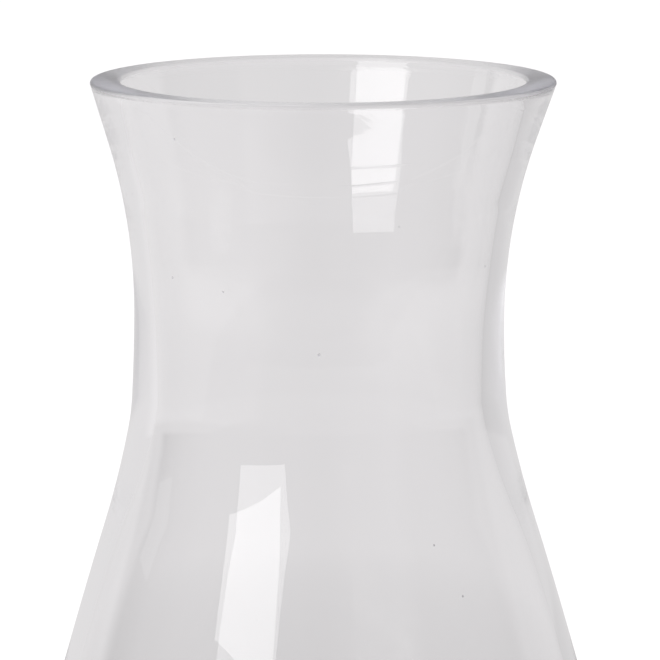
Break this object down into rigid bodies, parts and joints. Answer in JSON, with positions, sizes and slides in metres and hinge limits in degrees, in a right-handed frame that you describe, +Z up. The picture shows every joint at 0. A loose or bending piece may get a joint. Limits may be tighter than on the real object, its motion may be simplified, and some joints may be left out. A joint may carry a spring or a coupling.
{
  "type": "flower vase",
  "caption": "Clear glass flower vase with a flared ground mouth, a hollow-curved waist and a conical flank that rounds into a heavy base with a shallow punt.",
  "frame": {"origin": "centre of the foot, on the plane the vase stands on", "axes": "+Z up along the vase's axis of revolution; X and Y are free, because the vase is round"},
  "size_m": [0.151, 0.151, 0.25],
  "materials": {
    "clear_glass": "clear, smooth blown walls with a flat ground rim of satin finish"
  },
  "bodies": {
    "root": {"vase_body": "clear_glass"}
  },
  "joints": []
}
